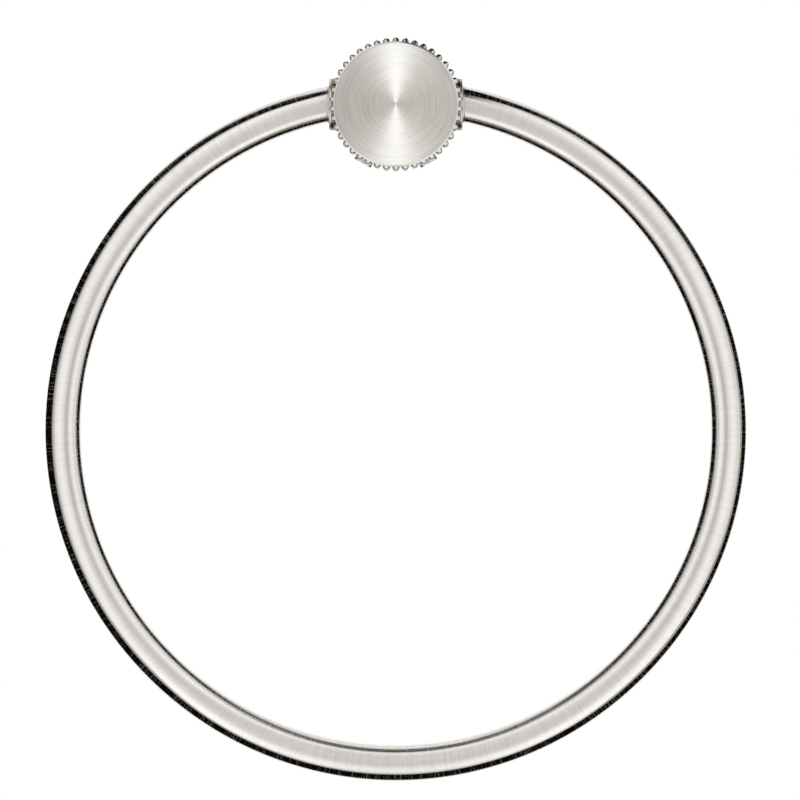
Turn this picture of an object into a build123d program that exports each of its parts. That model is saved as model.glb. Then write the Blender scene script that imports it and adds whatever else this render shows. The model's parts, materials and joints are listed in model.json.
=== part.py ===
from build123d import *
import os
from math import cos, radians, sin, sqrt, tan

# Towel ring on a ridged round post, in millimetres.
# The origin is on the post's axis at the wall face, +Z is up and the front faces -Y.
# The ring hangs in a plane parallel to the wall and swings on two pins in the post.

# Ring
ring_outer_dia = 178.0
bar_dia = 9.0
pivot_standoff = 34.0

# Post barrel
ridge_crest_dia = 33.8
ridge_count = 42
ridge_height = 1.0
ridge_width = 1.8
ridge_wall_margin = 0.8
ridge_sink = 0.03
barrel_wall = 2.8
socket_lead_in = 0.5

# Side bosses, which carry the ring, and the metal of the post before and behind them
boss_dia = 13.1
boss_to_front = 5.45
web_behind_pivot = 9.25

# Front cap, whose bevel has the same slope as the ridges' front ends
cap_thickness = 4.5
cap_bevel_width = 0.35
front_slope = 32.0
cap_stem_dia = 22.0
cap_stem_length = 5.0
cap_stem_chamfer = 0.6

# Bearing bushes
bush_sleeve_dia = 7.5
bush_sleeve_length = 10.0
bush_flange_thickness = 0.6
bush_edge_break = 0.12

# Pivot pins
journal_dia = 5.0
journal_length = 9.0
collar_dia = 9.4
collar_thickness = 0.4
tail_dia = 4.0
tail_length = 5.0
pin_chamfer = 0.4

# Wall bracket
bracket_height = 14.0
bracket_base_thickness = 3.0
bracket_wall = 2.9
groove_depth = 1.2
groove_standoff = 7.5
wall_hole_dia = 4.2
wall_hole_spacing = 12.0

# Set screws and the bosses that they go through
screw_dia = 3.0
screw_angle = 30.0
screw_boss_dia = 4.9
screw_boss_rise = 0.1
screw_length = 4.0
screw_point_dia = 0.5
hex_across_flats = 1.5
hex_depth = 1.6

# Clearances
running_clearance = 0.05
press_clearance = 0.01
slide_clearance = 0.1
thread_clearance = 0.02
flange_clearance = 0.15
stem_end_room = 0.5

# Places that follow from the sizes
crest_radius = ridge_crest_dia / 2
root_dia = ridge_crest_dia - 2 * ridge_height
barrel_length = pivot_standoff + boss_dia / 2 + boss_to_front
socket_dia = root_dia - 2 * barrel_wall
socket_depth = pivot_standoff - bush_sleeve_dia / 2 - web_behind_pivot
ridge_radius = ridge_width / 2
ridge_circle_radius = crest_radius - ridge_radius
cap_face = barrel_length + cap_thickness
cap_bevel_depth = cap_bevel_width * tan(radians(front_slope))
boss_face_x = crest_radius - bush_flange_thickness
collar_face_x = crest_radius + running_clearance
bar_end_x = collar_face_x + collar_thickness
ring_radius = (ring_outer_dia - bar_dia) / 2
ring_drop = sqrt(ring_radius**2 - bar_end_x**2)
bracket_dia = socket_dia - 2 * slide_clearance
groove_bottom_radius = bracket_dia / 2 - groove_depth
screw_boss_face = crest_radius + screw_boss_rise
overshoot = 1.0

pivot = Pos(0, -pivot_standoff, 0)
ring_centre = Pos(0, -pivot_standoff, -ring_drop)
toward_front = Rot(90, 0, 0)
toward_right = Rot(0, 90, 0)
upright = (Align.CENTER, Align.CENTER, Align.MIN)


def rod(diameter, start, end):
    """A round rod on +Z from one height to another."""
    return Pos(0, 0, start) * Cylinder(diameter / 2, end - start, align=upright)


def turned(*points):
    """A solid turned about Z from its (radius, height) outline."""
    outline = make_face(Polyline(*points, close=True))
    return revolve(Plane.XZ * outline, Axis.Z)


def on_both_sides(piece):
    """A right-hand piece and its mirror image on the left."""
    return piece, mirror(piece, about=Plane.YZ)


def screw_axes():
    """Turns +Z to each screw's way out of the post, low on either side."""
    return [
        Pos(0, -groove_standoff, 0) * Rot(0, 180 + side * screw_angle, 0)
        for side in (-1, 1)
    ]


def make_ring():
    hoop = ring_centre * toward_front * Torus(ring_radius, bar_dia / 2)
    gap_size = (2 * bar_end_x, 2 * bar_dia, ring_drop + bar_dia)
    gap = ring_centre * Box(*gap_size, align=upright)
    drilling = rod(tail_dia + 2 * press_clearance, 0, bar_end_x + tail_length)
    right_hole, left_hole = on_both_sides(pivot * toward_right * drilling)
    return hoop - gap - right_hole - left_hole


def make_pivot_pin():
    journal_end = collar_face_x - journal_length
    tail_end = bar_end_x + tail_length
    pin = turned(
        (0, journal_end),
        (journal_dia / 2 - pin_chamfer, journal_end),
        (journal_dia / 2, journal_end + pin_chamfer),
        (journal_dia / 2, collar_face_x),
        (collar_dia / 2, collar_face_x),
        (collar_dia / 2, bar_end_x),
        (tail_dia / 2, bar_end_x),
        (tail_dia / 2, tail_end - pin_chamfer),
        (tail_dia / 2 - pin_chamfer, tail_end),
        (0, tail_end),
    )
    return pivot * toward_right * pin


def make_bush():
    bore_radius = journal_dia / 2 + running_clearance
    flange_radius = boss_dia / 2
    sleeve_end = boss_face_x - bush_sleeve_length
    bush = turned(
        (bore_radius, sleeve_end),
        (bush_sleeve_dia / 2, sleeve_end),
        (bush_sleeve_dia / 2, boss_face_x),
        (flange_radius - bush_edge_break, boss_face_x),
        (flange_radius, boss_face_x + bush_edge_break),
        (flange_radius, crest_radius - bush_edge_break),
        (flange_radius - bush_edge_break, crest_radius),
        (bore_radius, crest_radius),
    )
    return pivot * toward_right * bush


def all_around(ridge):
    """Copies of one ridge around the post, the first on top."""
    first_on_top = PolarLocations(ridge_circle_radius, ridge_count, start_angle=90)
    return [toward_front * place * ridge for place in first_on_top]


def make_post_barrel():
    ridge = rod(ridge_width, ridge_wall_margin, barrel_length)
    barrel = toward_front * rod(root_dia, 0, barrel_length) + all_around(ridge)

    # The ridges stop short of each bush's flange
    flange_room = rod(boss_dia + 2 * flange_clearance, boss_face_x, crest_radius + overshoot)
    barrel -= list(on_both_sides(pivot * toward_right * flange_room))
    barrel += pivot * toward_right * rod(boss_dia, -boss_face_x, boss_face_x)
    screw_boss = rod(screw_boss_dia, socket_dia / 2 + slide_clearance, screw_boss_face)
    barrel += [axis * screw_boss for axis in screw_axes()]

    # Bores for the bushes, the bracket, the cap's stem and the screws
    bush_bore = rod(bush_sleeve_dia + 2 * press_clearance, -crest_radius, crest_radius)
    barrel -= pivot * toward_right * bush_bore
    barrel -= toward_front * turned(
        (0, -overshoot),
        (socket_dia / 2 + socket_lead_in + overshoot, -overshoot),
        (socket_dia / 2, socket_lead_in),
        (socket_dia / 2, socket_depth),
        (0, socket_depth),
    )
    stem_bore_floor = barrel_length - cap_stem_length - stem_end_room
    stem_bore = rod(cap_stem_dia + 2 * press_clearance, stem_bore_floor, barrel_length + overshoot)
    barrel -= toward_front * stem_bore
    screw_hole = rod(screw_dia + 2 * thread_clearance, 0, screw_boss_face + overshoot)
    barrel -= [axis * screw_hole for axis in screw_axes()]
    return barrel


def make_cap_ridge():
    """A ridge along the cap's edge that leans in to the bevel at its front end."""
    slope = radians(front_slope)
    bevel_foot = cap_face - cap_bevel_depth - ridge_sink
    overhang = ridge_circle_radius + ridge_radius * sin(slope) - root_dia / 2
    bend = bevel_foot - ridge_radius * cos(slope) - overhang * tan(slope)
    lean_length = (overhang + cap_bevel_width / 2) / cos(slope)
    leaning = Rot(0, front_slope - 90, 0) * rod(ridge_width, 0, lean_length)
    return rod(ridge_width, barrel_length, bend) + Pos(0, 0, bend) * (Sphere(ridge_radius) + leaning)


def make_front_cap():
    stem_end = barrel_length - cap_stem_length
    cap = turned(
        (0, stem_end),
        (cap_stem_dia / 2 - cap_stem_chamfer, stem_end),
        (cap_stem_dia / 2, stem_end + cap_stem_chamfer),
        (cap_stem_dia / 2, barrel_length),
        (root_dia / 2, barrel_length),
        (root_dia / 2, cap_face - cap_bevel_depth),
        (root_dia / 2 - cap_bevel_width, cap_face),
        (0, cap_face),
    )
    return toward_front * cap + all_around(make_cap_ridge())


def make_wall_bracket():
    outer = bracket_dia / 2
    bore = outer - bracket_wall
    bracket = turned(
        (0, 0),
        (outer, 0),
        (outer, groove_standoff - groove_depth),
        (groove_bottom_radius, groove_standoff),
        (outer, groove_standoff + groove_depth),
        (outer, bracket_height),
        (bore, bracket_height),
        (bore, bracket_base_thickness),
        (0, bracket_base_thickness),
    )
    hole = rod(wall_hole_dia, -overshoot, bracket_base_thickness + overshoot)
    holes = [place * hole for place in GridLocations(0, wall_hole_spacing, 1, 2)]
    return toward_front * (bracket - holes)


def make_set_screws():
    """Two grub screws with cone points seated in the bracket's groove."""
    point = groove_bottom_radius + press_clearance + screw_point_dia / 2
    cone_length = (screw_dia - screw_point_dia) / 2
    screw_end = point + screw_length
    screw = turned(
        (0, point),
        (screw_point_dia / 2, point),
        (screw_dia / 2, point + cone_length),
        (screw_dia / 2, screw_end),
        (0, screw_end),
    )
    hexagon = RegularPolygon(hex_across_flats / 2, 6, major_radius=False)
    screw -= Pos(0, 0, screw_end) * extrude(hexagon, -hex_depth)
    return Compound(children=[axis * screw for axis in screw_axes()])


pivot_pin_right, pivot_pin_left = on_both_sides(make_pivot_pin())
bush_right, bush_left = on_both_sides(make_bush())

nodes = {
    "ring": make_ring(),
    "pivot_pin_left": pivot_pin_left,
    "pivot_pin_right": pivot_pin_right,
    "bush_left": bush_left,
    "bush_right": bush_right,
    "post_barrel": make_post_barrel(),
    "front_cap": make_front_cap(),
    "wall_bracket": make_wall_bracket(),
    "set_screws": make_set_screws(),
}

os.makedirs("parts", exist_ok=True)
for name, shape in nodes.items():
    export_step(shape, f"parts/{name}.step")
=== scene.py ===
import json
from math import asin, atan2, cos, degrees, pi, radians, sin, tan

import bmesh
import bpy
from bpy.props import FloatProperty, FloatVectorProperty, IntProperty, PointerProperty
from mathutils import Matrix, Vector
from numpy import interp


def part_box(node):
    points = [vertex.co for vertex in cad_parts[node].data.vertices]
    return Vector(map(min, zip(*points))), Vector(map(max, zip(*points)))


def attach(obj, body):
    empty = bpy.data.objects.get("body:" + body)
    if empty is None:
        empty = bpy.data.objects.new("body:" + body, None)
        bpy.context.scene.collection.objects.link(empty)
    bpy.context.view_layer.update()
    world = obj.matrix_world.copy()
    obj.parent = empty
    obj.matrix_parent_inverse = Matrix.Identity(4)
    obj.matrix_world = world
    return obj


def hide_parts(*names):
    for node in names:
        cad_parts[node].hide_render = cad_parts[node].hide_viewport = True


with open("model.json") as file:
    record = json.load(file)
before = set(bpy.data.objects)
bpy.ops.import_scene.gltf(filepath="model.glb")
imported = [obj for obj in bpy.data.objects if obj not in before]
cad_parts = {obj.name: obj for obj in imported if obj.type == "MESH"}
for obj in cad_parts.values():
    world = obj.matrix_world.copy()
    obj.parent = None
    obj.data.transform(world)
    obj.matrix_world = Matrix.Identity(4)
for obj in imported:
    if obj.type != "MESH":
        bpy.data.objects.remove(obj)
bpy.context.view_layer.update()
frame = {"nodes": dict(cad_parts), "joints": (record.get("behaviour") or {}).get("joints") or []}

bl_info = {
    "name": "Towel Ring",
    "version": (1, 0, 0),
    "blender": (4, 5, 0),
    "location": "View3D > Sidebar > Towel Ring",
    "description": "Models and finishes a towel ring that hangs from a ridged round post",
    "category": "Add Mesh",
}

# Places and sizes read from the frame, in metres
ring_low, ring_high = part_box("ring")
cap_low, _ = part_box("front_cap")
bush_low, bush_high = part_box("bush_right")
pin_low, pin_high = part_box("pivot_pin_right")
bracket_low, bracket_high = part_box("wall_bracket")
pivot = Vector(frame["joints"][0]["pos_m"])
ring_outer_radius = (ring_high.x - ring_low.x) / 2
bar_radius = (ring_high.y - ring_low.y) / 2
ring_radius = ring_outer_radius - bar_radius
ring_centre = Vector((0, pivot.y, ring_low.z + ring_outer_radius))
toward_wall = Vector((0, 1, 0))

# Points nearer than this count as one place
nearly = 1e-6


def length(name, description, metres):
    """A size that the user can change."""
    return FloatProperty(
        name=name, description=description, unit="LENGTH", precision=5, default=metres,
    )


def number(name, description, count):
    """A number of steps or sides that the user can change."""
    return IntProperty(name=name, description=description, default=count)


def tint(name, description, rgb):
    """A colour that the user can change."""
    return FloatVectorProperty(
        name=name, description=description,
        subtype="COLOR", size=4, min=0, max=1, default=(*rgb, 1),
    )


class TowelRingSizes(bpy.types.PropertyGroup):
    """Sizes of the pieces, where the boxes of the frame's nodes don't give them."""

    bar_end: length("Bar end", "From the middle of the post to each end of the bar", 0.01735)
    bar_edge: length("Bar edge", "Rounding of the edge at each end of the bar", 0.0002)
    ring_steps: number("Ring steps", "Steps of the bent bar around the ring", 320)
    bar_sides: number("Bar sides", "Sides of the bar's round section", 48)
    turned_sides: number("Turned sides", "Sides of the turned pieces", 96)

    tail_diameter: length("Tail diameter", "Pivot pin where it goes into the bar", 0.0040)
    tail_length: length("Tail length", "Pivot pin where it goes into the bar", 0.0050)
    press_clearance: length("Press clearance", "Around what is pressed into a hole", 0.00001)
    collar_diameter: length("Collar diameter", "Collar between the post and the bar", 0.0094)
    collar_thickness: length("Collar thickness", "Collar between the post and the bar", 0.0004)
    collar_edge: length("Collar edge", "Rounding of the collar's rim", 0.00008)
    journal_diameter: length("Journal diameter", "Pivot pin where it turns in the bush", 0.0050)
    pin_chamfer: length("Pin chamfer", "Chamfer on both ends of the pivot pin", 0.0004)

    bore_diameter: length("Bore diameter", "Hole of the bush that the pin turns in", 0.0051)
    sleeve_diameter: length("Sleeve diameter", "Bush where it is pressed into the post", 0.0075)
    flange_thickness: length("Flange thickness", "Plate of the bush beside the post", 0.0006)
    flange_edge: length("Flange edge", "Rounding of the flange's rim", 0.00012)

    cup_diameter: length("Cup diameter", "Hollow of the wall bracket", 0.0202)
    base_thickness: length("Base thickness", "Wall bracket where it is screwed to the wall", 0.0030)
    groove_depth: length("Groove depth", "Groove that the set screws press into", 0.0012)
    groove_standoff: length("Groove standoff", "From the wall to the middle of the groove", 0.0075)
    bracket_edge: length("Bracket edge", "Rounding of the bracket's cast edges", 0.00025)
    wall_hole_diameter: length("Wall hole diameter", "Holes for the wall screws", 0.0042)
    wall_hole_spacing: length("Wall hole spacing", "Between the wall holes' middles", 0.0120)

    screw_diameter: length("Screw diameter", "Set screw over its thread", 0.0030)
    screw_root_diameter: length("Screw root diameter", "Set screw under its thread", 0.0024)
    screw_length: length("Screw length", "Set screw from point to socket", 0.0040)
    screw_point_diameter: length("Screw point diameter", "Flat at the set screw's tip", 0.0005)
    screw_point_radius: length("Screw point radius", "From the post's axis to the tip", 0.01206)
    thread_pitch: length("Thread pitch", "Set screw", 0.0005)
    socket_across_flats: length("Socket across flats", "Six-sided socket of the set screw", 0.0015)
    socket_depth: length("Socket depth", "Six-sided socket of the set screw", 0.0016)
    screw_angle: FloatProperty(
        name="Screw angle", description="From straight down to each set screw",
        subtype="ANGLE", default=radians(30),
    )


class TowelRingFinishes(bpy.types.PropertyGroup):
    """Colours and textures of the metal."""

    nickel: tint("Nickel", "Nickel on the ring, the post and their bearings", (0.80, 0.77, 0.73))
    turned_nickel: tint("Turned nickel", "Nickel on the cap's turned face", (0.805, 0.76, 0.70))
    # Painted shade: a dark brown that stands for the shade in the joints around the bushes
    painted_joint_shade: tint("Painted joint shade", "Metal in the joints around the bushes", (0.27, 0.21, 0.14))
    zinc: tint("Zinc", "Cast wall bracket", (0.56, 0.57, 0.58))
    screw_steel: tint("Screw steel", "Blackened set screws", (0.16, 0.16, 0.17))
    brush_line: length("Brush line", "Width of the finest brush lines on the ring", 0.00035)


class TowelRingStage(bpy.types.PropertyGroup):
    """Camera, cards and floor of the studio."""

    lens: FloatProperty(
        name="Lens", description="Focal length of the camera, in millimetres", default=1600,
    )
    view_width: length("View width", "Width of the picture at the ring", 0.20308)
    aim: FloatVectorProperty(
        name="Aim", description="Point at the middle of the picture",
        subtype="XYZ", unit="LENGTH", size=3, default=(0.00106, pivot.y, -0.07501),
    )
    card_distance: length("Card distance", "From the ring to the lit card in front of it", 0.244)
    floor_height: length("Floor height", "Height of the floor, from the post's axis", -0.20)
    floor_colour: tint("Floor colour", "Pale floor", (0.86, 0.86, 0.86))


class NodeTree:
    """A node tree in the making: each call adds one node or more and gives an output."""

    def __init__(self, owner):
        owner.use_nodes = True
        self.tree = owner.node_tree
        self.tree.nodes.clear()

    def add(self, kind, inputs=None, output=0, **settings):
        node = self.tree.nodes.new(kind)
        for name, value in settings.items():
            setattr(node, name, value)
        for socket, value in (inputs or {}).items():
            if isinstance(value, bpy.types.NodeSocket):
                self.tree.links.new(value, node.inputs[socket])
            else:
                node.inputs[socket].default_value = value
        return node.outputs[output] if node.outputs else node

    def place(self):
        return self.add("ShaderNodeTexCoord", output="Object")

    def math(self, operation, a, b):
        return self.add("ShaderNodeMath", {0: a, 1: b}, operation=operation)

    def weigh(self, a, a_share, b, b_share):
        a_part = self.math("MULTIPLY", a, a_share)
        return self.math("ADD", a_part, self.math("MULTIPLY", b, b_share))

    def vector(self, operation, a, b=(0, 0, 0)):
        output = "Value" if operation == "LENGTH" else "Vector"
        return self.add("ShaderNodeVectorMath", {0: a, 1: b}, output, operation=operation)

    def scaled(self, vector, factor):
        inputs = {0: vector, "Scale": factor}
        return self.add("ShaderNodeVectorMath", inputs, operation="SCALE")

    def axis(self, vector, name):
        return self.add("ShaderNodeSeparateXYZ", {0: vector}, name)

    def blend(self, factor, a, b):
        return self.add("ShaderNodeMix", {0: factor, 6: a, 7: b}, 2, data_type="RGBA")

    def combine(self, x, y, z):
        return self.add("ShaderNodeCombineXYZ", {"X": x, "Y": y, "Z": z})

    def noise(self, place, size, detail):
        inputs = {"Vector": place, "Scale": 1 / size, "Detail": detail}
        return self.add("ShaderNodeTexNoise", inputs)

    def line_noise(self, distance, size, detail):
        inputs = {"W": distance, "Scale": 1 / size, "Detail": detail}
        return self.add("ShaderNodeTexNoise", inputs, noise_dimensions="1D")

    def spread(self, value, low, high, to_low, to_high):
        inputs = {
            "Value": value, "From Min": low, "From Max": high, "To Min": to_low, "To Max": to_high,
        }
        return self.add("ShaderNodeMapRange", inputs)

    def ramp(self, value, stops):
        node = self.tree.nodes.new("ShaderNodeValToRGB")
        node.color_ramp.interpolation = "CARDINAL"
        self.tree.links.new(value, node.inputs[0])
        marks = node.color_ramp.elements
        while len(marks) < len(stops):
            marks.new(0.5)
        for mark, (position, level) in zip(marks, stops):
            mark.position = position
            mark.color = (level, level, level, 1)
        return node.outputs[0]

    def bump(self, height, depth):
        inputs = {"Height": height, "Distance": depth, "Strength": 1.0}
        return self.add("ShaderNodeBump", inputs)

    def to_world(self, direction):
        return self.add(
            "ShaderNodeVectorTransform", {0: direction},
            vector_type="VECTOR", convert_from="OBJECT", convert_to="WORLD",
        )

    def metal(self, inputs):
        surface = self.add("ShaderNodeBsdfPrincipled", {"Metallic": 1.0, **inputs})
        self.add("ShaderNodeOutputMaterial", {"Surface": surface})


def new_material(name):
    """A new material, and its node tree in the making."""
    material = bpy.data.materials.new(name)
    return material, NodeTree(material)


def share_of(colour, share):
    """A colour with its light made less or more."""
    return [share * part for part in colour[:3]] + [1]


def brushed_ring_nickel(finishes):
    """Nickel brushed around the bar, so that the lines run across it."""
    material, nodes = new_material("brushed_ring_nickel")
    place = nodes.place()
    from_centre = nodes.vector("SUBTRACT", place, ring_centre)
    x = nodes.axis(from_centre, "X")
    z = nodes.axis(from_centre, "Z")
    flat = nodes.vector("MULTIPLY", from_centre, (1, 0, 1))
    along_bar = nodes.vector("CROSS_PRODUCT", nodes.vector("NORMALIZE", flat), toward_wall)

    # Brush lines follow the way round the ring and hardly change across the bar
    stretch = 0.02
    turn = nodes.math("ARCTAN2", x, nodes.math("MULTIPLY", z, -1))
    off_line = nodes.math("SUBTRACT", nodes.vector("LENGTH", flat), ring_radius)
    brushing = nodes.combine(
        nodes.math("MULTIPLY", turn, ring_radius),
        nodes.math("MULTIPLY", off_line, stretch),
        nodes.math("MULTIPLY", nodes.axis(place, "Y"), stretch),
    )
    fine = nodes.noise(brushing, finishes.brush_line, 2.0)
    coarse = nodes.noise(brushing, 3 * finishes.brush_line, 1.0)
    lines = nodes.weigh(fine, 0.6, coarse, 0.4)
    shade = nodes.spread(lines, 0.36, 0.64, 0.0, 1.0)
    scratches = nodes.spread(fine, 0.53, 0.66, 0.0, 1.0)
    rough = nodes.spread(nodes.noise(place, 0.02, 2.0), 0.3, 0.7, 0.19, 0.24)
    nodes.metal({
        "Base Color": nodes.blend(shade, share_of(finishes.nickel, 0.90), finishes.nickel),
        "Roughness": nodes.math("ADD", rough, nodes.math("MULTIPLY", scratches, 0.06)),
        "Metallic": nodes.spread(scratches, 0.0, 1.0, 1.0, 0.88),
        "Anisotropic": 1.0,
        "Tangent": nodes.to_world(along_bar),
        "Normal": nodes.bump(lines, 0.000003),
    })
    return material


def turned_cap_nickel(finishes):
    """Nickel turned in fine circles on the cap's face and polished on its edge."""
    material, nodes = new_material("turned_cap_nickel")
    place = nodes.place()
    flat = nodes.vector("MULTIPLY", place, (1, 0, 1))
    radius = nodes.vector("LENGTH", flat)
    outward = nodes.vector("NORMALIZE", flat)

    # What lies behind the flat face is the cap's edge
    face_depth = 0.00002
    depth = nodes.math("SUBTRACT", nodes.axis(place, "Y"), cap_low.y)
    edge = nodes.math("GREATER_THAN", depth, face_depth)

    # The circles fade in and out on their way around
    sideways = nodes.scaled(outward, 0.0004)
    turning = nodes.vector("ADD", sideways, nodes.combine(0.0, radius, 0.0))
    fine = nodes.noise(turning, 0.00024, 1.0)
    broad = nodes.noise(turning, 0.0007, 1.0)
    shade = nodes.spread(nodes.weigh(fine, 1.5, broad, 0.5), 0.65, 1.35, 0.0, 1.0)
    light = share_of(finishes.turned_nickel, 0.67)
    dark = share_of(finishes.turned_nickel, 0.53)
    face = nodes.blend(shade, dark, light)

    # The ridges shine most on their sloping ends, and behind those they match the post
    slope_depth, match_depth = 0.0012, 0.0022
    shine = nodes.spread(depth, slope_depth, match_depth, 0.24, 0.14)
    rough = nodes.spread(fine, 0.3, 0.7, 0.43, 0.49)
    nodes.metal({
        "Base Color": nodes.blend(edge, face, share_of(finishes.nickel, 0.84)),
        "Roughness": nodes.math("SUBTRACT", rough, nodes.math("MULTIPLY", edge, shine)),
        "Anisotropic": 0.78,
        "Tangent": nodes.to_world(outward),
        "Normal": nodes.bump(fine, 0.000003),
    })
    return material


def polished_ridge_nickel(finishes):
    """Nickel with a soft polish, a little duller in patches, with painted shade around each bush.
    """
    material, nodes = new_material("polished_ridge_nickel")
    place = nodes.place()
    patches = nodes.noise(place, 0.004, 3.0)
    clean = nodes.blend(patches, share_of(finishes.nickel, 0.92), finishes.nickel)

    # Painted shade: a dark brown is painted on the post in the joint around each bush, standing for
    # the shade between the ridges and the bush's plate
    joint_width = 0.00017
    from_pivot = nodes.vector("MULTIPLY", nodes.vector("SUBTRACT", place, pivot), (0, 1, 1))
    radius = nodes.vector("LENGTH", from_pivot)
    joint = nodes.math("LESS_THAN", radius, bush_high.z + joint_width)
    nodes.metal({
        "Base Color": nodes.blend(joint, clean, finishes.painted_joint_shade),
        "Roughness": nodes.spread(patches, 0.3, 0.7, 0.26, 0.34),
        "Normal": nodes.bump(nodes.noise(place, 0.0003, 2.0), 0.000001),
    })
    return material


def satin_pivot_nickel(finishes):
    """Nickel turned about the pivot and left satin."""
    material, nodes = new_material("satin_pivot_nickel")
    from_pivot = nodes.vector("SUBTRACT", nodes.place(), pivot)
    radius = nodes.vector("LENGTH", nodes.vector("MULTIPLY", from_pivot, (0, 1, 1)))
    fine = nodes.line_noise(radius, 0.0002, 2.0)
    nodes.metal({
        "Base Color": nodes.blend(fine, share_of(finishes.nickel, 0.90), finishes.nickel),
        "Roughness": nodes.spread(fine, 0.3, 0.7, 0.30, 0.40),
        "Normal": nodes.bump(fine, 0.000002),
    })
    return material


def cast_bracket_zinc(finishes):
    """Zinc as it comes from the mould, with a fine grain."""
    material, nodes = new_material("cast_bracket_zinc")
    place = nodes.place()
    grain = nodes.noise(place, 0.0004, 4.0)
    patches = nodes.noise(place, 0.005, 3.0)
    nodes.metal({
        "Base Color": nodes.blend(patches, share_of(finishes.zinc, 0.8), finishes.zinc),
        "Roughness": nodes.spread(grain, 0.3, 0.7, 0.42, 0.58),
        "Normal": nodes.bump(grain, 0.00003),
    })
    return material


def dark_screw_steel(finishes):
    """Blackened steel with worn, brighter spots."""
    material, nodes = new_material("dark_screw_steel")
    wear = nodes.spread(nodes.noise(nodes.place(), 0.0008, 4.0), 0.5, 0.7, 0.0, 0.5)
    bright = share_of(finishes.screw_steel, 2.2)
    nodes.metal({
        "Base Color": nodes.blend(wear, finishes.screw_steel, bright),
        "Roughness": nodes.spread(wear, 0.0, 0.5, 0.42, 0.3),
    })
    return material


def begin():
    """Leave edit mode with nothing selected, ready for a new primitive."""
    if bpy.context.mode != "OBJECT":
        bpy.ops.object.mode_set(mode="OBJECT")
    bpy.ops.object.select_all(action="DESELECT")


def choose(piece):
    """Make a piece active, and the only one that is selected."""
    begin()
    bpy.context.view_layer.objects.active = piece
    piece.select_set(True)


def choose_edges(piece, wanted):
    """Select only the edges whose two ends are both wanted."""
    bpy.ops.mesh.select_mode(type="EDGE")
    bpy.ops.mesh.select_all(action="DESELECT")
    mesh = bmesh.from_edit_mesh(piece.data)
    for edge in mesh.edges:
        edge.select_set(all(wanted(vert.co) for vert in edge.verts))
    bmesh.update_edit_mesh(piece.data)


def choose_faces(piece, wanted):
    """Select only the faces whose middle is wanted."""
    bpy.ops.mesh.select_mode(type="FACE")
    bpy.ops.mesh.select_all(action="DESELECT")
    mesh = bmesh.from_edit_mesh(piece.data)
    for face in mesh.faces:
        face.select_set(wanted(face.calc_center_median()))
    bmesh.update_edit_mesh(piece.data)


def choose_open_edges():
    """Select only the edges around openings in the mesh."""
    bpy.ops.mesh.select_all(action="DESELECT")
    bpy.ops.mesh.select_non_manifold()


def face_outward():
    """Turn every face's normal outward, with the whole mesh left selected."""
    bpy.ops.mesh.select_all(action="SELECT")
    bpy.ops.mesh.normals_make_consistent(inside=False)


def turn_piece(name, stations, sides, bored=False):
    """Turn a piece about +Z: a circle, extruded and resized from station to station.

    A station is a radius and a height. A bored piece ends by closing on its first circle.
    """
    begin()
    radius, height = stations[0]
    bpy.ops.mesh.primitive_circle_add(vertices=sides, radius=radius, location=(0, 0, height))
    piece = bpy.context.object
    piece.name = name
    bpy.ops.object.transform_apply(location=True)
    bpy.ops.object.mode_set(mode="EDIT")
    bpy.ops.mesh.select_all(action="SELECT")
    for next_radius, next_height in stations[1:]:
        rise = (0, 0, next_height - height)
        bpy.ops.mesh.extrude_region_move(TRANSFORM_OT_translate={"value": rise})
        scale = next_radius / radius
        bpy.ops.transform.resize(value=(scale, scale, 1))
        radius, height = next_radius, next_height
    choose_open_edges()
    if bored:
        bpy.ops.mesh.bridge_edge_loops()
    else:
        bpy.ops.mesh.fill_holes(sides=0)
    face_outward()
    return piece


def round_edges(piece, stations, width, segments=3):
    """Bevel the circles of a turned piece at the stations given."""
    def on_a_station(place):
        radius = place.xy.length
        return any(abs(radius - r) < nearly and abs(place.z - z) < nearly for r, z in stations)

    choose_edges(piece, on_a_station)
    bpy.ops.mesh.bevel(offset=width, segments=segments, affect="EDGES")


def cut_away(piece, tool):
    """Cut one piece with another, and throw the tool away."""
    choose(piece)
    cut = piece.modifiers.new("cut", "BOOLEAN")
    cut.operation = "DIFFERENCE"
    cut.solver = "EXACT"
    cut.object = tool
    bpy.ops.object.modifier_apply(modifier=cut.name)
    bpy.data.objects.remove(tool)


def copy_of(piece, name):
    """A copy with its own mesh."""
    choose(piece)
    bpy.ops.object.duplicate(linked=False)
    copy = bpy.context.object
    copy.name = name
    return copy


def join(pieces):
    """Make the first piece take in the others."""
    begin()
    for piece in pieces:
        piece.select_set(True)
    bpy.context.view_layer.objects.active = pieces[0]
    bpy.ops.object.join()


def put(piece, turn, place):
    """Turn a piece, move it to its place and keep both in its mesh."""
    choose(piece)
    piece.rotation_euler = turn
    piece.location = place
    bpy.ops.object.transform_apply(location=True, rotation=True)


def finish_piece(piece, node, body, material):
    """Smooth a piece, give it its metal and let it stand for its node."""
    choose(piece)
    bpy.ops.object.shade_smooth_by_angle(angle=radians(35))
    piece.data.materials.append(material)
    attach(piece, body)
    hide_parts(node)


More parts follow.
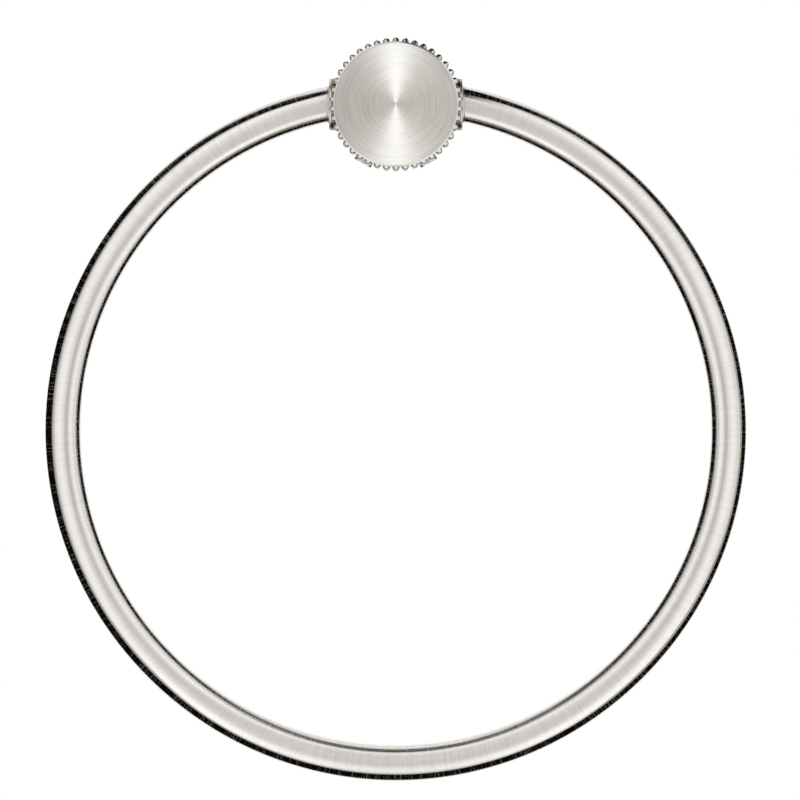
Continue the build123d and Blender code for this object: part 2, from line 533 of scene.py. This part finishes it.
class TOWELRING_OT_ring(bpy.types.Operator):
    """Bend the bar into the ring, cut its ends square and drill them for the pins"""

    bl_idname = "towel_ring.ring"
    bl_label = "Ring"

    def execute(self, context):
        sizes = context.scene.towel_ring_sizes
        begin()

        # The bar's round section, spun from one side of the post all the way to the other
        overrun = radians(1.5)
        start = asin(sizes.bar_end / ring_radius) - overrun
        first = ring_centre + ring_radius * Vector((sin(start), 0, cos(start)))
        bpy.ops.mesh.primitive_circle_add(
            vertices=sizes.bar_sides, radius=bar_radius,
            location=first, rotation=(0, pi / 2 + start, 0),
        )
        ring = context.object
        ring.name = "bent_bar"
        bpy.ops.object.transform_apply(location=True, rotation=True)
        bpy.ops.object.mode_set(mode="EDIT")
        bpy.ops.mesh.select_all(action="SELECT")
        bpy.ops.mesh.spin(
            steps=sizes.ring_steps, angle=2 * (pi - start), center=ring_centre, axis=-toward_wall,
        )

        # Both ends are cut flat beside the post, and their edges rounded
        bar_end = sizes.bar_end
        shoulder = ring_centre.z + 0.8 * ring_radius
        for side in (-1, 1):
            choose_faces(ring, lambda middle: side * middle.x > 0 and middle.z > shoulder)
            bpy.ops.mesh.bisect(
                plane_co=(side * bar_end, 0, 0), plane_no=(side, 0, 0),
                use_fill=True, clear_inner=True,
            )
        bpy.ops.mesh.select_all(action="SELECT")
        bpy.ops.mesh.remove_doubles(threshold=nearly / 10)
        face_outward()
        choose_edges(ring, lambda end: end.z > shoulder and abs(abs(end.x) - bar_end) < nearly)
        bpy.ops.mesh.bevel(offset=sizes.bar_edge, segments=3, affect="EDGES")

        hole = sizes.tail_diameter / 2 + sizes.press_clearance
        hole_end = bar_end + sizes.tail_length
        drill = turn_piece("drill", [(hole, -hole_end), (hole, hole_end)], sizes.bar_sides)
        put(drill, (0, pi / 2, 0), pivot)
        cut_away(ring, drill)
        metal = brushed_ring_nickel(context.scene.towel_ring_finishes)
        finish_piece(ring, "ring", "ring", metal)
        return {"FINISHED"}


class TOWELRING_OT_pins(bpy.types.Operator):
    """Turn a pivot pin with its collar, and copy it to the other side"""

    bl_idname = "towel_ring.pins"
    bl_label = "Pivot Pins"

    def execute(self, context):
        sizes = context.scene.towel_ring_sizes
        journal = sizes.journal_diameter / 2
        collar = sizes.collar_diameter / 2
        tail = sizes.tail_diameter / 2
        collar_face = sizes.bar_end - sizes.collar_thickness
        stations = [
            (journal, pin_low.x), (journal, collar_face), (collar, collar_face),
            (collar, sizes.bar_end), (tail, sizes.bar_end), (tail, pin_high.x),
        ]
        right = turn_piece("pivot_right", stations, sizes.turned_sides)
        round_edges(right, [stations[0], stations[5]], sizes.pin_chamfer, 1)
        round_edges(right, [stations[2], stations[3]], sizes.collar_edge)
        left = copy_of(right, "pivot_left")
        put(right, (0, pi / 2, 0), pivot)
        put(left, (0, -pi / 2, 0), pivot)
        metal = satin_pivot_nickel(context.scene.towel_ring_finishes)
        finish_piece(right, "pivot_pin_right", "ring", metal)
        finish_piece(left, "pivot_pin_left", "ring", metal)
        return {"FINISHED"}


class TOWELRING_OT_bushes(bpy.types.Operator):
    """Turn a flanged bush, and copy it to the other side"""

    bl_idname = "towel_ring.bushes"
    bl_label = "Bushes"

    def execute(self, context):
        sizes = context.scene.towel_ring_sizes
        bore = sizes.bore_diameter / 2
        sleeve = sizes.sleeve_diameter / 2
        flange = (bush_high.z - bush_low.z) / 2
        seat = bush_high.x - sizes.flange_thickness
        stations = [
            (bore, bush_low.x), (sleeve, bush_low.x), (sleeve, seat),
            (flange, seat), (flange, bush_high.x), (bore, bush_high.x),
        ]
        right = turn_piece("bearing_right", stations, sizes.turned_sides, bored=True)
        round_edges(right, [stations[1], stations[3], stations[4]], sizes.flange_edge)
        left = copy_of(right, "bearing_left")
        put(right, (0, pi / 2, 0), pivot)
        put(left, (0, -pi / 2, 0), pivot)
        metal = satin_pivot_nickel(context.scene.towel_ring_finishes)
        finish_piece(right, "bush_right", "post", metal)
        finish_piece(left, "bush_left", "post", metal)
        return {"FINISHED"}


class TOWELRING_OT_post(bpy.types.Operator):
    """Finish the ridged barrel and the turned cap"""

    bl_idname = "towel_ring.post"
    bl_label = "Post"

    def execute(self, context):
        finishes = context.scene.towel_ring_finishes
        for name, metal in (
            ("post_barrel", polished_ridge_nickel(finishes)),
            ("front_cap", turned_cap_nickel(finishes)),
        ):
            slots = frame["nodes"][name].data.materials
            slots.clear()
            slots.append(metal)
        return {"FINISHED"}


class TOWELRING_OT_bracket(bpy.types.Operator):
    """Turn the wall bracket with its groove, and drill it for the wall screws"""

    bl_idname = "towel_ring.bracket"
    bl_label = "Wall Bracket"

    def execute(self, context):
        sizes = context.scene.towel_ring_sizes
        outer = (bracket_high.x - bracket_low.x) / 2
        height = bracket_high.y - bracket_low.y
        cup = sizes.cup_diameter / 2
        groove = sizes.groove_standoff
        depth = sizes.groove_depth
        groove_bottom = (outer - depth, groove)
        stations = [
            (outer, 0), (outer, groove - depth), groove_bottom, (outer, groove + depth),
            (outer, height), (cup, height), (cup, sizes.base_thickness),
        ]
        bracket = turn_piece("cast_bracket", stations, sizes.turned_sides)
        cast_edges = [station for station in stations if station != groove_bottom]
        round_edges(bracket, cast_edges, sizes.bracket_edge)
        hole = sizes.wall_hole_diameter / 2
        for side in (-1, 1):
            drill = turn_piece("drill", [(hole, -height), (hole, height)], sizes.bar_sides)
            put(drill, (0, 0, 0), (0, side * sizes.wall_hole_spacing / 2, 0))
            cut_away(bracket, drill)
        put(bracket, (pi / 2, 0, 0), (0, 0, 0))
        metal = cast_bracket_zinc(context.scene.towel_ring_finishes)
        finish_piece(bracket, "wall_bracket", "post", metal)
        return {"FINISHED"}


class TOWELRING_OT_screws(bpy.types.Operator):
    """Make a set screw with its thread and socket, and copy it to the other side"""

    bl_idname = "towel_ring.screws"
    bl_label = "Set Screws"

    def execute(self, context):
        sizes = context.scene.towel_ring_sizes
        root = sizes.screw_root_diameter / 2
        tip = sizes.screw_point_diameter / 2
        crest = sizes.screw_diameter / 2
        low = sizes.screw_point_radius
        high = low + sizes.screw_length
        shank = low + crest - tip
        stations = [(tip, low), (root, low + root - tip), (root, high)]
        screw = turn_piece("set_screw", stations, sizes.bar_sides)
        begin()
        corner = sizes.socket_across_flats / (2 * cos(pi / 6))
        bpy.ops.mesh.primitive_circle_add(
            vertices=6, radius=corner, fill_type="NGON", location=(0, 0, high - sizes.socket_depth),
        )
        key = context.object
        bpy.ops.object.transform_apply(location=True)
        bpy.ops.object.mode_set(mode="EDIT")
        bpy.ops.mesh.select_all(action="SELECT")
        rise = (0, 0, 2 * sizes.socket_depth)
        bpy.ops.mesh.extrude_region_move(TRANSFORM_OT_translate={"value": rise})
        face_outward()
        cut_away(screw, key)

        # The thread is a three-cornered section that climbs around the shank
        begin()
        turns = int((high - shank) / sizes.thread_pitch) - 1
        first = (high + shank - turns * sizes.thread_pitch) / 2
        bpy.ops.mesh.primitive_circle_add(
            vertices=3, radius=crest - root,
            location=(root, 0, first), rotation=(pi / 2, pi / 2, 0),
        )
        thread = context.object
        bpy.ops.object.transform_apply(location=True, rotation=True)
        climb = thread.modifiers.new("climb", "SCREW")
        climb.screw_offset = sizes.thread_pitch
        climb.iterations = turns
        climb.steps = climb.render_steps = sizes.bar_sides
        bpy.ops.object.modifier_apply(modifier=climb.name)
        bpy.ops.object.mode_set(mode="EDIT")
        choose_open_edges()
        bpy.ops.mesh.fill_holes(sides=0)
        face_outward()
        join([screw, thread])

        other = copy_of(screw, "other_screw")
        foot = (0, -sizes.groove_standoff, 0)
        put(screw, (0, pi - sizes.screw_angle, 0), foot)
        put(other, (0, pi + sizes.screw_angle, 0), foot)
        join([screw, other])
        screw.name = "threaded_screws"
        metal = dark_screw_steel(context.scene.towel_ring_finishes)
        finish_piece(screw, "set_screws", "post", metal)
        return {"FINISHED"}


def card_light(reach):
    """Light of the front card: a grey gap between two softboxes, with one above and one below.

    Each stop is a place on the card, in metres from the ring's centre, and its light.
    """
    material, nodes = new_material("card_light")
    from_middle = nodes.vector("SUBTRACT", nodes.place(), ring_centre)
    across = nodes.spread(nodes.axis(from_middle, "X"), -reach, reach, 0, 1)
    up = nodes.spread(nodes.axis(from_middle, "Z"), -reach, reach, 0, 1)

    # A smooth ramp stops at 1, so levels are shares of the card's full light
    full = 1.5

    def ramp(way, stops, most=full):
        marks = [(0.5 + 0.5 * place / reach, level / most) for place, level in stops]
        return nodes.ramp(way, marks)

    sides = [
        (-0.9, 0.45), (-0.52, 0.80), (-0.2, 1.16), (-0.07, 0.92), (0.01, 0.60),
        (0.08, 0.86), (0.2, 1.15), (0.5, 0.96), (0.85, 0.82),
    ]
    ends = [
        (-0.9, 0.0), (-0.6, 0.15), (-0.38, 0.35), (-0.15, 0.0),
        (0.15, 0.0), (0.38, 0.19), (0.6, 0.0),
    ]
    level = nodes.vector("ADD", ramp(across, sides), ramp(up, ends))

    # The gap is less grey at the ring's centre, and below that a glow lies on either side
    gap = [(-0.10, 0.0), (-0.02, 1.0), (0.04, 1.0), (0.12, 0.0)]
    left = [(-0.26, 0.0), (-0.16, 1.0), (-0.09, 1.0), (-0.045, 0.0)]
    right = [(-place, share) for place, share in reversed(left)]
    centre = [(-0.09, 0.0), (0.0, 0.05), (0.09, 0.0)]
    below = [(-0.36, 0.0), (-0.23, 0.22), (-0.12, 0.0)]
    for beside, height in ((gap, centre), (left, below), (right, below)):
        glow = nodes.vector("MULTIPLY", ramp(across, beside, 1), ramp(up, height))
        level = nodes.vector("ADD", level, glow)
    light = nodes.add("ShaderNodeEmission", {"Color": level, "Strength": full})
    nodes.add("ShaderNodeOutputMaterial", {"Surface": light})
    return material


def plain_card(name, colour):
    """A card of one colour."""
    material, nodes = new_material(name)
    light = nodes.add("ShaderNodeEmission", {"Color": (*colour, 1)})
    nodes.add("ShaderNodeOutputMaterial", {"Surface": light})
    return material


def pale_floor(stage):
    """A pale floor that fades into the white around it."""
    material, nodes = new_material("pale_floor")
    place = nodes.place()
    reach = nodes.vector("LENGTH", nodes.vector("MULTIPLY", place, (1, 1, 0)))
    fade = nodes.spread(reach, 0.35, 0.78, 0.0, 1.0)
    grain = nodes.noise(place, 0.002, 3.0)
    shade = nodes.blend(grain, share_of(stage.floor_colour, 0.98), stage.floor_colour)
    paper = nodes.add("ShaderNodeBsdfDiffuse", {"Color": shade})
    clear = nodes.add("ShaderNodeBsdfTransparent")
    surface = nodes.add("ShaderNodeMixShader", {0: fade, 1: paper, 2: clear})
    nodes.add("ShaderNodeOutputMaterial", {"Surface": surface})
    return material


def white_world(fill):
    """White where it is seen or reflected, and a lower even light elsewhere."""
    world = bpy.data.worlds.new("white_world")
    nodes = NodeTree(world)
    paths = nodes.tree.nodes.new("ShaderNodeLightPath").outputs
    seen = nodes.math("MAXIMUM", paths["Is Camera Ray"], paths["Is Glossy Ray"])
    strength = nodes.spread(seen, 0, 1, fill, 1)
    sky = nodes.add("ShaderNodeBackground", {"Color": (1, 1, 1, 1), "Strength": strength})
    nodes.add("ShaderNodeOutputWorld", {"Surface": sky})
    return world


def only_reflected(card, material):
    """Put a card on the stage where only reflections show it."""
    card.data.materials.append(material)
    card.visible_camera = False
    card.visible_diffuse = False
    card.visible_shadow = False


def add_card(name, centre, size, turn, material):
    """A flat card that only reflections show."""
    begin()
    bpy.ops.mesh.primitive_plane_add(size=1, location=centre, rotation=turn)
    card = bpy.context.object
    card.name = name
    card.scale = (*size, 1)
    bpy.ops.object.transform_apply(location=True, rotation=True, scale=True)
    only_reflected(card, material)


def add_band(name, gap, stations, material):
    """A narrow band around the ring, with a gap to the bar that reflects it.

    Each station is a place around the ring, clockwise from the top, and the first and the
    last angle from the camera at which the bar reflects the band there, all in degrees.
    """
    radius = ring_outer_radius + gap
    begin()
    bpy.ops.mesh.primitive_circle_add(
        vertices=360, radius=radius, location=ring_centre, rotation=(pi / 2, 0, 0),
    )
    band = bpy.context.object
    band.name = name
    bpy.ops.object.transform_apply(location=True, rotation=True)
    bpy.ops.object.mode_set(mode="EDIT")
    bpy.ops.mesh.select_all(action="SELECT")
    bpy.ops.mesh.extrude_region_move(TRANSFORM_OT_translate={"value": (0, bar_radius, 0)})
    bpy.ops.object.mode_set(mode="OBJECT")

    # The front rim follows the first angles and the back rim the last ones
    places, first, last = zip(*stations)
    between_rims = ring_centre.y + bar_radius / 2
    for vert in band.data.vertices:
        place = degrees(atan2(vert.co.x, vert.co.z - ring_centre.z)) % 360
        angle = radians(interp(place, places, first if vert.co.y < between_rims else last))
        reach = radius - ring_radius - bar_radius * sin(angle / 2)
        vert.co.y = ring_centre.y - bar_radius * cos(angle / 2) - reach / tan(angle)
    only_reflected(band, material)


def add_spot(name, place, target, power, colour, width, blend):
    """A spot lamp turned to its target, with the width of its cone in degrees."""
    lamp = bpy.data.lights.new(name, "SPOT")
    lamp.energy = power
    lamp.color = colour
    lamp.spot_size = radians(width)
    lamp.spot_blend = blend
    lamp.shadow_soft_size = 0.002
    lamp_object = bpy.data.objects.new(name, lamp)
    lamp_object.location = place
    lamp_object.rotation_euler = (target - place).to_track_quat("-Z", "Y").to_euler()
    bpy.context.scene.collection.objects.link(lamp_object)


def set_camera(scene, stage):
    """A camera that looks square at the ring from far off."""
    camera = bpy.data.cameras.new("camera")
    camera.lens = stage.lens
    camera.clip_end = 40
    distance = stage.view_width * stage.lens / camera.sensor_width
    camera_object = bpy.data.objects.new("camera", camera)
    camera_object.location = Vector(stage.aim) - distance * toward_wall
    camera_object.rotation_euler = (pi / 2, 0, 0)
    scene.collection.objects.link(camera_object)
    scene.camera = camera_object


def set_cards(stage):
    """The lit card in front, and the black, tan and grey ones that the metal reflects."""
    reach, top = 0.9, 0.6
    front = (0, ring_centre.y - stage.card_distance, ring_centre.z + (top - reach) / 2)
    upright = (pi / 2, 0, 0)
    add_card("front_card", front, (2 * reach, reach + top), upright, card_light(reach))
    dark = plain_card("black_card", (0.003, 0.003, 0.003))
    brown = plain_card("tan_card", (0.24, 0.21, 0.18))
    grey = plain_card("grey_card", (0.52, 0.51, 0.50))

    # Upright cards on both sides, out behind the ring, with a tan card on the left.
    # Each has its low and its high corner in y and z, and its x.
    for name, low, high, x, material in (
        ("far_left", (0.19, -1.7), (0.85, 2.2), -1.2, dark),
        ("far_right", (0.19, -1.7), (0.85, 2.2), 1.2, dark),
        ("rear_left", (0.1, -0.7), (0.5, 0.8), -0.4, dark),
        ("rear_right", (0.1, -0.7), (0.5, 0.8), 0.4, dark),
        ("tan_front", (-0.21, -2.4), (-0.051, 2.4), -1.2, brown),
        ("tan_back", (0.001, -2.4), (0.19, 2.4), -1.2, brown),
    ):
        size = (high[1] - low[1], high[0] - low[0])
        centre = (x, (low[0] + high[0]) / 2, (low[1] + high[1]) / 2)
        add_card(f"{name}_card", centre, size, (0, pi / 2, 0), material)

    # Level cards under the ring, over it and close over the post.
    # Each has its low and its high corner in x and y, its height and its turn in degrees.
    for name, low, high, height, turn, material in (
        ("far_lower", (-0.4, 0.06), (0.4, 0.45), -0.483, 0, dark),
        ("tan_lower", (-0.4, -0.1), (0.4, 0.06), -0.47, 0, brown),
        ("upper_left", (-0.565, -0.08), (0.065, 0.16), 0.417, -37, dark),
        ("upper_right", (-0.065, -0.08), (0.565, 0.16), 0.417, 37, dark),
        ("post", (0.003, -0.064), (0.031, -0.020), 0.03, 0, dark),
    ):
        size = (high[0] - low[0], high[1] - low[1])
        centre = ((low[0] + high[0]) / 2, (low[1] + high[1]) / 2, height)
        add_card(f"{name}_card", centre, size, (0, 0, radians(turn)), material)

    # A black band around the ring, with a grey lead into it, both closed at the post.
    # Each station has its place, where the lead and the black begin, and where both end.
    closed = (75, 75, 75)
    outside = (
        (14, *closed), (15, 69, 70, 108), (30, 82, 88, 117), (45, 82, 93, 129),
        (60, 82, 94, 132), (75, 81, 97, 148), (105, 81, 97, 148), (120, 75, 94, 143),
        (135, 71, 86, 139), (150, 75, 81, 135), (180, 76, 81, 139), (210, 70, 80, 136),
        (225, 60, 75, 140), (255, 66, 78, 160), (285, 66, 78, 160), (315, 73, 82, 130),
        (330, 74, 78, 118), (345, 64, 66, 111), (346, *closed),
    )
    gap = 0.012
    behind = 0.0001
    leads = [(place, lead, black) for place, lead, black, end in outside]
    blacks = [(place, black, end) for place, lead, black, end in outside]
    add_band("outer_lead", gap + behind, leads, grey)
    add_band("outer_band", gap, blacks, dark)


def set_floor(stage):
    """A pale floor under the ring."""
    begin()
    bpy.ops.mesh.primitive_grid_add(x_subdivisions=8, y_subdivisions=8, size=1.6)
    floor = bpy.context.object
    floor.name = "floor"
    floor.location = (0, 0, stage.floor_height)
    bpy.ops.object.transform_apply(location=True)
    floor.data.materials.append(pale_floor(stage))
    floor.visible_glossy = False


def set_lamps(scene):
    """A soft lamp overhead, and two narrow ones on the turned face of the cap."""
    lamp = bpy.data.lights.new("soft_lamp", "AREA")
    lamp.size = 0.8
    lamp.energy = 4
    lamp_object = bpy.data.objects.new("soft_lamp", lamp)
    lamp_object.location = (0.2, -0.3, 1.2)
    lamp_object.visible_glossy = False
    scene.collection.objects.link(lamp_object)

    # One shines on the cap from over the camera, and the other from the camera's side
    distance = 1.85
    rise = radians(22)
    middle = Vector((0, cap_low.y, 0))
    add_spot(
        "cap_lamp", middle + distance * Vector((0, -cos(rise), sin(rise))), middle,
        power=49, colour=(0.90, 0.955, 1.0), width=1.0, blend=0.1,
    )
    right_of_middle = middle + Vector((0.005, 0, 0))
    add_spot(
        "cap_fill", right_of_middle - distance * toward_wall, right_of_middle,
        power=2.6, colour=(1, 1, 1), width=0.77, blend=1.0,
    )


class TOWELRING_OT_stage(bpy.types.Operator):
    """Set up the camera, the cards, the floor and the lamps"""

    bl_idname = "towel_ring.stage"
    bl_label = "Stage"

    def execute(self, context):
        scene = context.scene
        stage = scene.towel_ring_stage
        scene.view_settings.view_transform = "Standard"
        scene.world = white_world(fill=0.7)
        set_camera(scene, stage)
        set_cards(stage)
        set_floor(stage)
        set_lamps(scene)
        return {"FINISHED"}


class TOWELRING_PT_panel(bpy.types.Panel):
    """Lists the steps that make the towel ring"""

    bl_idname = "TOWELRING_PT_panel"
    bl_label = "Towel Ring"
    bl_space_type = "VIEW_3D"
    bl_region_type = "UI"
    bl_category = "Towel Ring"

    def draw(self, context):
        for operator in operators:
            self.layout.operator(operator.bl_idname)


property_groups = (TowelRingSizes, TowelRingFinishes, TowelRingStage)
operators = (
    TOWELRING_OT_ring, TOWELRING_OT_pins, TOWELRING_OT_bushes, TOWELRING_OT_post,
    TOWELRING_OT_bracket, TOWELRING_OT_screws, TOWELRING_OT_stage,
)
classes = (*property_groups, *operators, TOWELRING_PT_panel)


def register():
    for each in classes:
        bpy.utils.register_class(each)
    bpy.types.Scene.towel_ring_sizes = PointerProperty(type=TowelRingSizes)
    bpy.types.Scene.towel_ring_finishes = PointerProperty(type=TowelRingFinishes)
    bpy.types.Scene.towel_ring_stage = PointerProperty(type=TowelRingStage)


def unregister():
    del bpy.types.Scene.towel_ring_stage
    del bpy.types.Scene.towel_ring_finishes
    del bpy.types.Scene.towel_ring_sizes
    for each in reversed(classes):
        bpy.utils.unregister_class(each)


def main():
    register()
    bpy.ops.towel_ring.ring()
    bpy.ops.towel_ring.pins()
    bpy.ops.towel_ring.bushes()
    bpy.ops.towel_ring.post()
    bpy.ops.towel_ring.bracket()
    bpy.ops.towel_ring.screws()
    bpy.ops.towel_ring.stage()


if __name__ == "__main__":
    main()
